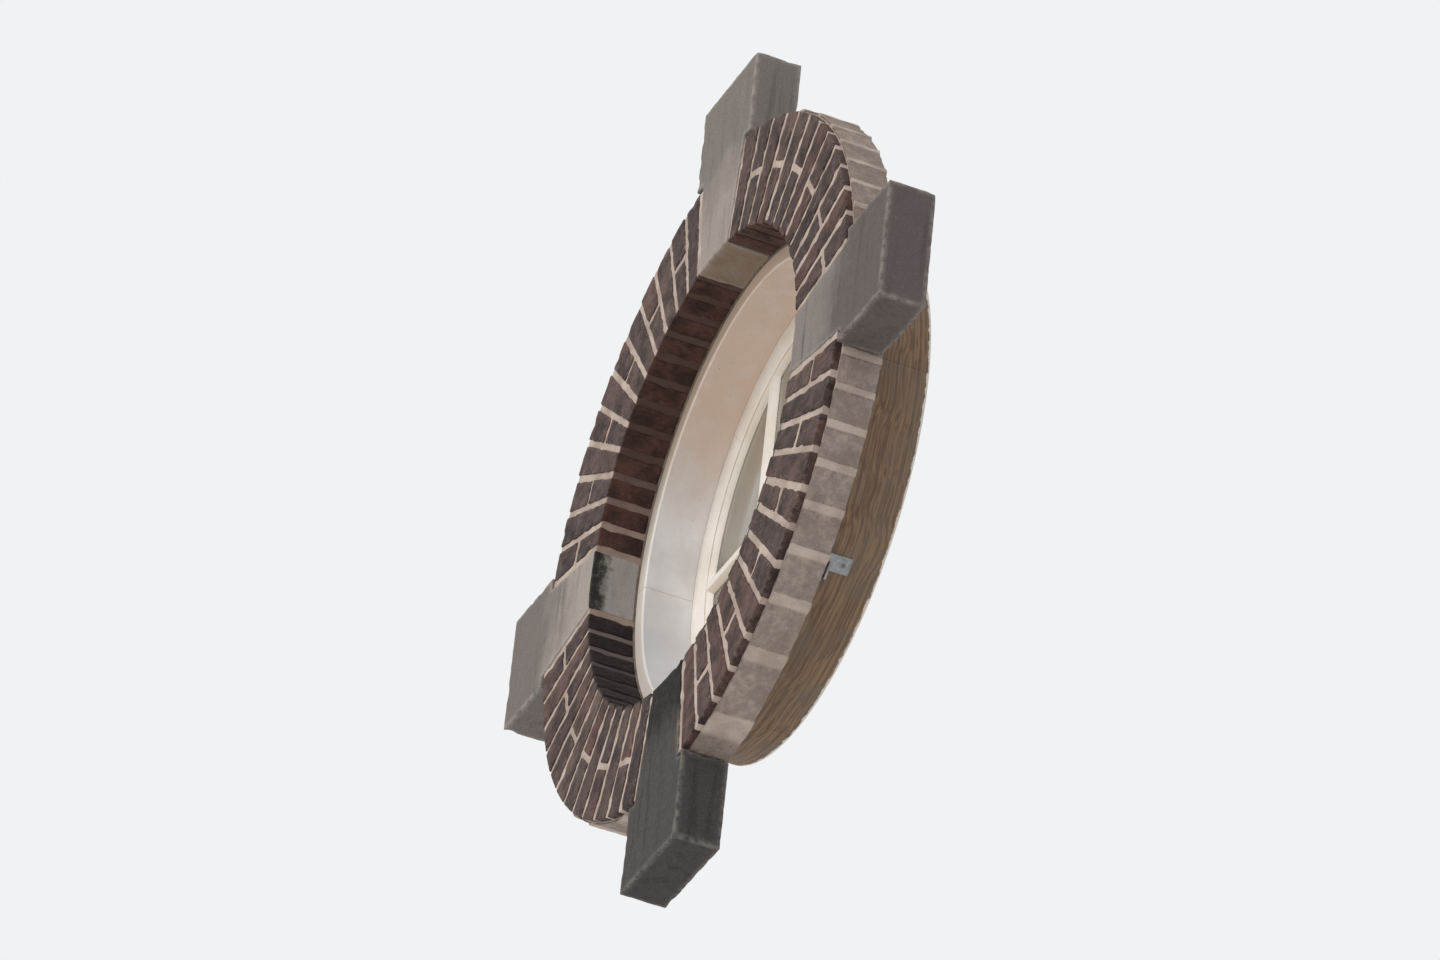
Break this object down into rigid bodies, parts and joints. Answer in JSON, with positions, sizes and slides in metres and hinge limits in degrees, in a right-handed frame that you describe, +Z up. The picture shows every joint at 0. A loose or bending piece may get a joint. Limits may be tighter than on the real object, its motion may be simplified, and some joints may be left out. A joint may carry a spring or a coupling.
{
  "type": "round window",
  "caption": "Round timber window in a brick ring with stone keys: a deep frame, a glazed sash with glazing bars, and ties for the wall.",
  "frame": {"origin": "centre of the window, in the plane of the wall's outer face", "axes": "+X right as seen from the street, +Y into the wall, +Z up"},
  "size_m": [1.6, 0.2355, 1.6],
  "materials": {
    "right_stone": "dressed, weathered grey",
    "top_stone": "dressed, weathered, stained darker at the top",
    "left_stone": "dressed, weathered grey",
    "bottom_stone": "dressed, weathered blue-grey",
    "ring_brick": "rough fired brick, dark purple-brown",
    "mortar": "pale lime mortar, recessed",
    "frame_paint": "off-white paint on timber",
    "bedding": "hair mortar bedding",
    "sash_paint": "cream paint on timber",
    "putty": "painted linseed putty",
    "glass": "clear window glass",
    "tie_steel": "galvanised, dull",
    "screw_steel": "plain steel"
  },
  "bodies": {
    "root": {"key_stone_right": "right_stone", "sash_segment_right": "sash_paint", "key_stone_top": "top_stone", "sash_segment_top": "sash_paint", "key_stone_left": "left_stone", "sash_segment_left": "sash_paint", "key_stone_bottom": "bottom_stone", "sash_segment_bottom": "sash_paint", "full_bricks_upper_right": "ring_brick", "inner_bricks_upper_right": "ring_brick", "outer_bricks_upper_right": "ring_brick", "ring_mortar_upper_right": "mortar", "frame_segment_upper_right": "frame_paint", "full_bricks_upper_left": "ring_brick", "inner_bricks_upper_left": "ring_brick", "outer_bricks_upper_left": "ring_brick", "ring_mortar_upper_left": "mortar", "frame_segment_upper_left": "frame_paint", "full_bricks_lower_left": "ring_brick", "inner_bricks_lower_left": "ring_brick", "outer_bricks_lower_left": "ring_brick", "ring_mortar_lower_left": "mortar", "frame_segment_lower_left": "frame_paint", "full_bricks_lower_right": "ring_brick", "inner_bricks_lower_right": "ring_brick", "outer_bricks_lower_right": "ring_brick", "ring_mortar_lower_right": "mortar", "frame_segment_lower_right": "frame_paint", "frame_bedding": "bedding", "frame_ties": "tie_steel", "tie_screws": "screw_steel", "glazing_bar_left": "sash_paint", "glazing_bar_right": "sash_paint", "glazing_bar_cross": "sash_paint", "pane_upper_left": "glass", "putty_upper_left": "putty", "pane_upper_middle": "glass", "putty_upper_middle": "putty", "pane_upper_right": "glass", "putty_upper_right": "putty", "pane_lower_left": "glass", "putty_lower_left": "putty", "pane_lower_middle": "glass", "putty_lower_middle": "putty", "pane_lower_right": "glass", "putty_lower_right": "putty", "retaining_plates": "tie_steel", "plate_screws": "screw_steel"}
  },
  "joints": []
}
